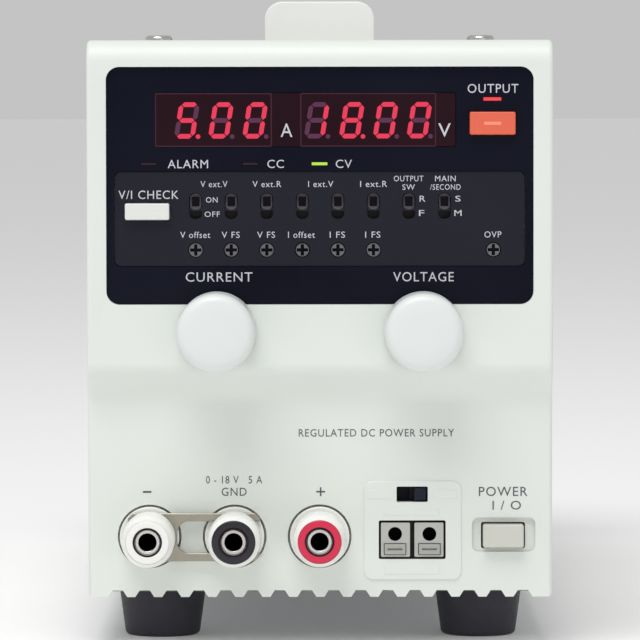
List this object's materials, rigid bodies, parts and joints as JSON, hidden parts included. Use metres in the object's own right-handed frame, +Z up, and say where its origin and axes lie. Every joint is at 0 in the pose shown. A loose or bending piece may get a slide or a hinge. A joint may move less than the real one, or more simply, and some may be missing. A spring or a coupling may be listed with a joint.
{
  "type": "bench power supply",
  "caption": "Narrow bench power supply with a red digital display, two ten-turn knobs, slide switches, output posts, sensing terminals and a carrying strap.",
  "frame": {"origin": "on the bench surface, under the middle of the whole supply's box", "axes": "the front panel faces -Y, +X is to the right seen from the front, +Z is up"},
  "size_m": [0.104, 0.316, 0.1449],
  "materials": {
    "white_plastic": "satin moulded warm white",
    "smoked_panel": "polished smoked acrylic",
    "matte_strip": "matte printed dark film",
    "red_filter": "polished dark red acrylic",
    "black_plastic": "fine-grained black moulding",
    "lamp_resin": "diffusing resin",
    "green_board": "solder-masked glass laminate",
    "orange_key": "satin orange-red moulding",
    "white_key": "satin white moulding",
    "nickel": "bright nickel plate",
    "grey_plastic": "satin grey moulding",
    "black_key": "satin navy black moulding",
    "painted_sheet": "fine textured warm white powder coat",
    "zinc_sheet": "zinc-plated sheet",
    "black_aluminium": "black anodised extrusion",
    "laminated_iron": "varnished laminations",
    "coil_tape": "yellow polyester tape",
    "black_rubber": "matte black rubber"
  },
  "bodies": {
    "case": {"ac_inlet": "black_plastic", "chassis_tray": "zinc_sheet", "circuit_boards": "green_board", "control_plate": "matte_strip", "digit_modules": "black_plastic", "display_filter": "red_filter", "display_panel": "smoked_panel", "fan_frame": "black_plastic", "front_bezel": "white_plastic", "heat_sink": "black_aluminium", "indicator_lamps": "lamp_resin", "panel_components": "black_plastic", "panel_nuts": "nickel", "post_bases": "white_plastic", "post_studs": "nickel", "power_components": "black_plastic", "power_switch": "black_plastic", "rear_contacts": "nickel", "rear_panel": "zinc_sheet", "rear_terminals": "black_plastic", "rubber_feet": "black_rubber", "sense_terminals": "grey_plastic", "shorting_link": "nickel", "strap_ends": "white_plastic", "ten_turn_pots": "black_plastic", "top_cover": "painted_sheet", "transformer_coil": "coil_tape", "transformer_core": "laminated_iron", "truss_screws": "nickel"},
    "current_knob": {"knob_current": "white_plastic"},
    "voltage_knob": {"knob_voltage": "white_plastic"},
    "output_push_key": {"output_key": "orange_key"},
    "check_push_key": {"check_key": "white_key"},
    "power_push_button": {"power_button": "white_key"},
    "mode_slider_body_1": {"mode_slider_1": "black_plastic"},
    "mode_slider_body_2": {"mode_slider_2": "black_plastic"},
    "mode_slider_body_3": {"mode_slider_3": "black_plastic"},
    "mode_slider_body_4": {"mode_slider_4": "black_plastic"},
    "mode_slider_body_5": {"mode_slider_5": "black_plastic"},
    "mode_slider_body_6": {"mode_slider_6": "black_plastic"},
    "mode_slider_body_7": {"mode_slider_7": "black_plastic"},
    "mode_slider_body_8": {"mode_slider_8": "black_plastic"},
    "trimmer_screw_1": {"trimmer_1": "white_key"},
    "trimmer_screw_2": {"trimmer_2": "white_key"},
    "trimmer_screw_3": {"trimmer_3": "white_key"},
    "trimmer_screw_4": {"trimmer_4": "white_key"},
    "trimmer_screw_5": {"trimmer_5": "white_key"},
    "trimmer_screw_6": {"trimmer_6": "white_key"},
    "trimmer_screw_7": {"trimmer_7": "white_key"},
    "sense_switch_slider": {"sense_slider": "black_key"},
    "left_wire_release": {"sense_release_left": "grey_plastic"},
    "right_wire_release": {"sense_release_right": "grey_plastic"},
    "minus_washer": {"washer_minus": "nickel"},
    "minus_cap": {"cap_minus": "white_plastic"},
    "ground_washer": {"washer_ground": "nickel"},
    "ground_cap": {"cap_ground": "white_plastic"},
    "plus_washer": {"washer_plus": "nickel"},
    "plus_cap": {"cap_plus": "white_plastic"},
    "fan_wheel": {"fan_rotor": "black_plastic"},
    "strap": {"carrying_strap": "black_plastic"}
  },
  "joints": [
    {"name": "current_turn", "type": "hinge", "parent": "case", "child": "current_knob", "pos_m": [-0.023, -0.143, 0.07125], "axis": [0, 1, 0], "range_deg": [-3600, 0]},
    {"name": "voltage_turn", "type": "hinge", "parent": "case", "child": "voltage_knob", "pos_m": [0.023, -0.143, 0.07125], "axis": [0, 1, 0], "range_deg": [-3600, 0]},
    {"name": "output_press", "type": "slide", "parent": "case", "child": "output_push_key", "axis": [0, 1, 0], "range_m": [0, 0.0008], "stiffness_N_per_m": 800},
    {"name": "check_press", "type": "slide", "parent": "case", "child": "check_push_key", "axis": [0, 1, 0], "range_m": [0, 0.0008], "stiffness_N_per_m": 800},
    {"name": "power_press", "type": "slide", "parent": "case", "child": "power_push_button", "axis": [0, 1, 0], "range_m": [-0.003, 0.0005]},
    {"name": "mode_slide_1", "type": "slide", "parent": "case", "child": "mode_slider_body_1", "axis": [0, 0, -1], "range_m": [0, 0.002]},
    {"name": "mode_slide_2", "type": "slide", "parent": "case", "child": "mode_slider_body_2", "axis": [0, 0, -1], "range_m": [0, 0.002]},
    {"name": "mode_slide_3", "type": "slide", "parent": "case", "child": "mode_slider_body_3", "axis": [0, 0, -1], "range_m": [0, 0.002]},
    {"name": "mode_slide_4", "type": "slide", "parent": "case", "child": "mode_slider_body_4", "axis": [0, 0, -1], "range_m": [0, 0.002]},
    {"name": "mode_slide_5", "type": "slide", "parent": "case", "child": "mode_slider_body_5", "axis": [0, 0, -1], "range_m": [0, 0.002]},
    {"name": "mode_slide_6", "type": "slide", "parent": "case", "child": "mode_slider_body_6", "axis": [0, 0, -1], "range_m": [0, 0.002]},
    {"name": "mode_slide_7", "type": "slide", "parent": "case", "child": "mode_slider_body_7", "axis": [0, 0, -1], "range_m": [0, 0.002]},
    {"name": "mode_slide_8", "type": "slide", "parent": "case", "child": "mode_slider_body_8", "axis": [0, 0, -1], "range_m": [0, 0.002]},
    {"name": "trimmer_turn_1", "type": "hinge", "parent": "case", "child": "trimmer_screw_1", "pos_m": [-0.0277, -0.14, 0.08915], "axis": [0, 1, 0], "range_deg": [-130, 130]},
    {"name": "trimmer_turn_2", "type": "hinge", "parent": "case", "child": "trimmer_screw_2", "pos_m": [-0.01977, -0.14, 0.08915], "axis": [0, 1, 0], "range_deg": [-130, 130]},
    {"name": "trimmer_turn_3", "type": "hinge", "parent": "case", "child": "trimmer_screw_3", "pos_m": [-0.01184, -0.14, 0.08915], "axis": [0, 1, 0], "range_deg": [-130, 130]},
    {"name": "trimmer_turn_4", "type": "hinge", "parent": "case", "child": "trimmer_screw_4", "pos_m": [-0.00391, -0.14, 0.08915], "axis": [0, 1, 0], "range_deg": [-130, 130]},
    {"name": "trimmer_turn_5", "type": "hinge", "parent": "case", "child": "trimmer_screw_5", "pos_m": [0.00402, -0.14, 0.08915], "axis": [0, 1, 0], "range_deg": [-130, 130]},
    {"name": "trimmer_turn_6", "type": "hinge", "parent": "case", "child": "trimmer_screw_6", "pos_m": [0.01195, -0.14, 0.08915], "axis": [0, 1, 0], "range_deg": [-130, 130]},
    {"name": "trimmer_turn_7", "type": "hinge", "parent": "case", "child": "trimmer_screw_7", "pos_m": [0.0387, -0.14, 0.08915], "axis": [0, 1, 0], "range_deg": [-130, 130]},
    {"name": "sense_slide", "type": "slide", "parent": "case", "child": "sense_switch_slider", "axis": [-1, 0, 0], "range_m": [0, 0.0034]},
    {"name": "left_release_press", "type": "slide", "parent": "case", "child": "left_wire_release", "axis": [0, 1, 0], "range_m": [0, 0.0012], "stiffness_N_per_m": 1000},
    {"name": "right_release_press", "type": "slide", "parent": "case", "child": "right_wire_release", "axis": [0, 1, 0], "range_m": [0, 0.0012], "stiffness_N_per_m": 1000},
    {"name": "minus_cap_rise", "type": "slide", "parent": "case", "child": "minus_washer", "axis": [0, -1, 0], "range_m": [0, 0.005]},
    {"name": "minus_cap_turn", "type": "hinge", "parent": "minus_washer", "child": "minus_cap", "pos_m": [-0.03825, -0.1412, 0.02485], "axis": [0, -1, 0], "range_deg": [0, 1810.5]},
    {"name": "ground_cap_rise", "type": "slide", "parent": "case", "child": "ground_washer", "axis": [0, -1, 0], "range_m": [0, 0.005]},
    {"name": "ground_cap_turn", "type": "hinge", "parent": "ground_washer", "child": "ground_cap", "pos_m": [-0.0192, -0.1412, 0.02485], "axis": [0, -1, 0], "range_deg": [0, 1810.5]},
    {"name": "plus_cap_rise", "type": "slide", "parent": "case", "child": "plus_washer", "axis": [0, -1, 0], "range_m": [0, 0.005]},
    {"name": "plus_cap_turn", "type": "hinge", "parent": "plus_washer", "child": "plus_cap", "pos_m": [-0.00015, -0.1401, 0.02485], "axis": [0, -1, 0], "range_deg": [0, 1810.5]},
    {"name": "fan_spin", "type": "hinge", "parent": "case", "child": "fan_wheel", "pos_m": [0.017, 0.133, 0.095], "axis": [0, 1, 0], "continuous": true},
    {"name": "strap_lift", "type": "slide", "parent": "case", "child": "strap", "axis": [0, 0, 1], "range_m": [0, 0.018], "stiffness_N_per_m": 60, "deforming": ["carrying_strap"]}
  ],
  "couplings": [
    {"joint": "minus_cap_turn", "follows": "minus_cap_rise", "rad_per_m": 6283.2},
    {"joint": "ground_cap_turn", "follows": "ground_cap_rise", "rad_per_m": 6283.2},
    {"joint": "plus_cap_turn", "follows": "plus_cap_rise", "rad_per_m": 6283.2}
  ]
}
